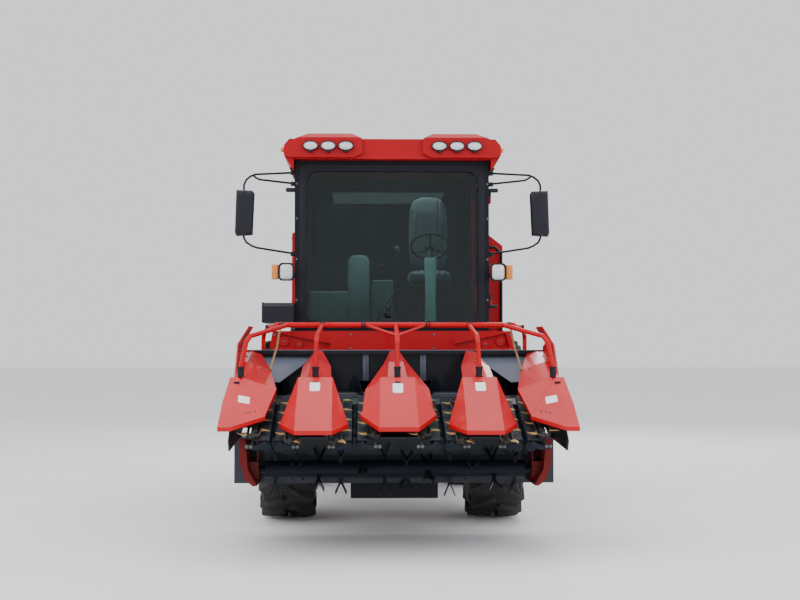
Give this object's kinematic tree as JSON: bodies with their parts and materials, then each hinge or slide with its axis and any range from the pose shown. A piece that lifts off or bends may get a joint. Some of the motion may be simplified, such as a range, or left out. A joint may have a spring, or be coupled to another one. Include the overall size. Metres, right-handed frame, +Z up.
{
  "type": "corn harvester",
  "caption": "Self-propelled corn harvester: front picking header with pointed dividers, glazed cab with lamps, steered rear wheels and a side-tipping ear tank.",
  "frame": {"origin": "on the ground below the middle of the machine's bounding box", "axes": "+Z up, the machine faces -Y, +X is the driver's left"},
  "size_m": [2.68, 7.28, 3.324],
  "materials": {
    "red_paint": "glossy red paint",
    "dark_red_paint": "dark red paint",
    "header_red": "glossy red paint",
    "tube_red": "red paint on tube",
    "black_paint": "satin black paint",
    "grey_paint": "grey blue paint",
    "blue_paint": "dark blue paint",
    "steel": "worn bare steel",
    "chain_brass": "yellow zinc plated steel",
    "glass_tint": "green tinted glass",
    "lamp_white": "clear lamp lens",
    "tyre_rubber": "dusty tyre rubber",
    "rim_paint": "off-white paint",
    "black_rubber": "matt black rubber",
    "black_plastic": "matt black plastic",
    "seat_cover": "seat fabric under clear film",
    "console_plastic": "light green plastic",
    "chrome_rod": "hard chrome",
    "cast": "painted casting"
  },
  "bodies": {
    "chassis": {"chassis_rails": "black_paint", "cross_members": "black_paint", "rear_bar": "black_paint", "front_axle": "black_paint", "rear_axle": "black_paint", "cab_frame": "black_paint", "cab_windows": "glass_tint", "cab_roof": "red_paint", "roof_lamps": "lamp_white", "mirrors": "black_plastic", "mirror_arms": "black_paint", "headlamps": "lamp_white", "front_panel": "red_paint", "right_fender": "black_plastic", "seat": "seat_cover", "steering_console": "console_plastic", "ladder": "black_paint", "engine": "cast", "radiator_housing": "red_paint", "fuel_tank": "black_plastic", "ear_elevator": "red_paint", "tank_stand": "black_paint"},
    "header": {"feeder_house": "red_paint", "back_wall": "blue_paint", "trough": "blue_paint", "end_plates": "red_paint", "divider_hoods": "header_red", "divider_covers": "header_red", "header_frame": "black_paint", "deck_plates": "steel", "hood_posts": "black_paint", "snapping_rolls": "steel", "gather_chains": "chain_brass", "guide_frame": "tube_red", "guide_sleeves": "black_rubber", "chopper_housing": "grey_paint", "chopper_ends": "dark_red_paint", "rear_flap": "black_rubber"},
    "auger": {"auger": "grey_paint"},
    "chopper": {"chopper_rotor": "grey_paint"},
    "front_wheel_left": {"front_tyre_left": "tyre_rubber", "front_rim_left": "rim_paint"},
    "front_wheel_right": {"front_tyre_right": "tyre_rubber", "front_rim_right": "rim_paint"},
    "knuckle_left": {"knuckle_left": "black_paint"},
    "knuckle_right": {"knuckle_right": "black_paint"},
    "rear_wheel_left": {"rear_tyre_left": "tyre_rubber", "rear_rim_left": "rim_paint"},
    "rear_wheel_right": {"rear_tyre_right": "tyre_rubber", "rear_rim_right": "rim_paint"},
    "tie_rod": {"tie_rod": "steel"},
    "door": {"cab_door": "red_paint", "door_window": "glass_tint"},
    "ear_tank": {"tank_floor": "red_paint", "tank_side": "red_paint", "tank_ends": "red_paint"},
    "lift_barrels": {"lift_cylinder_barrels": "black_paint"},
    "lift_rods": {"lift_cylinder_rods": "chrome_rod"},
    "tip_barrels": {"tank_cylinder_barrels": "black_paint"},
    "tip_rods": {"tank_cylinder_rods": "chrome_rod"}
  },
  "joints": [
    {"name": "header_lift", "type": "hinge", "parent": "chassis", "child": "header", "pos_m": [0, -0.15, 1.4], "axis": [1, 0, 0], "range_deg": [0, 7.5]},
    {"name": "auger_turn", "type": "hinge", "parent": "header", "child": "auger", "pos_m": [0, -2.29, 1.085], "axis": [1, 0, 0], "continuous": true},
    {"name": "chopper_turn", "type": "hinge", "parent": "header", "child": "chopper", "pos_m": [0, -2.4, 0.545], "axis": [1, 0, 0], "continuous": true},
    {"name": "front_wheel_left_turn", "type": "hinge", "parent": "chassis", "child": "front_wheel_left", "pos_m": [0.9, -0.85, 0.78], "axis": [1, 0, 0], "continuous": true},
    {"name": "front_wheel_right_turn", "type": "hinge", "parent": "chassis", "child": "front_wheel_right", "pos_m": [-0.9, -0.85, 0.78], "axis": [1, 0, 0], "continuous": true},
    {"name": "steer_left", "type": "hinge", "parent": "chassis", "child": "knuckle_left", "pos_m": [0.62, 2.1, 0.485], "axis": [0, 0, 1], "range_deg": [-30, 30]},
    {"name": "steer_right", "type": "hinge", "parent": "chassis", "child": "knuckle_right", "pos_m": [-0.62, 2.1, 0.485], "axis": [0, 0, 1], "range_deg": [-30, 30]},
    {"name": "rear_wheel_left_turn", "type": "hinge", "parent": "knuckle_left", "child": "rear_wheel_left", "pos_m": [0.83, 2.1, 0.485], "axis": [1, 0, 0], "continuous": true},
    {"name": "rear_wheel_right_turn", "type": "hinge", "parent": "knuckle_right", "child": "rear_wheel_right", "pos_m": [-0.83, 2.1, 0.485], "axis": [1, 0, 0], "continuous": true},
    {"name": "tie_rod_slide", "type": "slide", "parent": "chassis", "child": "tie_rod", "axis": [1, 0, 0], "range_m": [-0.084, 0.084]},
    {"name": "door_swing", "type": "hinge", "parent": "chassis", "child": "door", "pos_m": [0.848, -1.25, 2.3], "axis": [0, 0, -1], "range_deg": [0, 75]},
    {"name": "tank_tip", "type": "hinge", "parent": "chassis", "child": "ear_tank", "pos_m": [1, 2.8, 2.15], "axis": [0, 1, 0], "range_deg": [0, 45]},
    {"name": "lift_barrel_swing", "type": "hinge", "parent": "chassis", "child": "lift_barrels", "pos_m": [0, -1.05, 0.64], "axis": [1, 0, 0], "range_deg": [0, 15.6]},
    {"name": "lift_rod_slide", "type": "slide", "parent": "lift_barrels", "child": "lift_rods", "axis": [0, -0.9662, 0.2577], "range_m": [-0.1165, 0]},
    {"name": "tip_barrel_swing", "type": "hinge", "parent": "chassis", "child": "tip_barrels", "pos_m": [0.95, 2.8, 1.15], "axis": [0, 1, 0], "range_deg": [0, 23.7]},
    {"name": "tip_rod_slide", "type": "slide", "parent": "tip_barrels", "child": "tip_rods", "axis": [-0.9062, 0, 0.4229], "range_m": [0, 0.6635]}
  ],
  "couplings": [
    {"joint": "steer_right", "follows": "steer_left", "ratio": 1},
    {"joint": "tie_rod_slide", "follows": "steer_left", "m_per_rad": -0.158},
    {"joint": "lift_barrel_swing", "follows": "header_lift", "ratio": 2.0705},
    {"joint": "lift_rod_slide", "follows": "header_lift", "m_per_rad": -0.8875},
    {"joint": "tip_barrel_swing", "follows": "tank_tip", "ratio": 0.524},
    {"joint": "tip_rod_slide", "follows": "tank_tip", "m_per_rad": 0.8444}
  ]
}
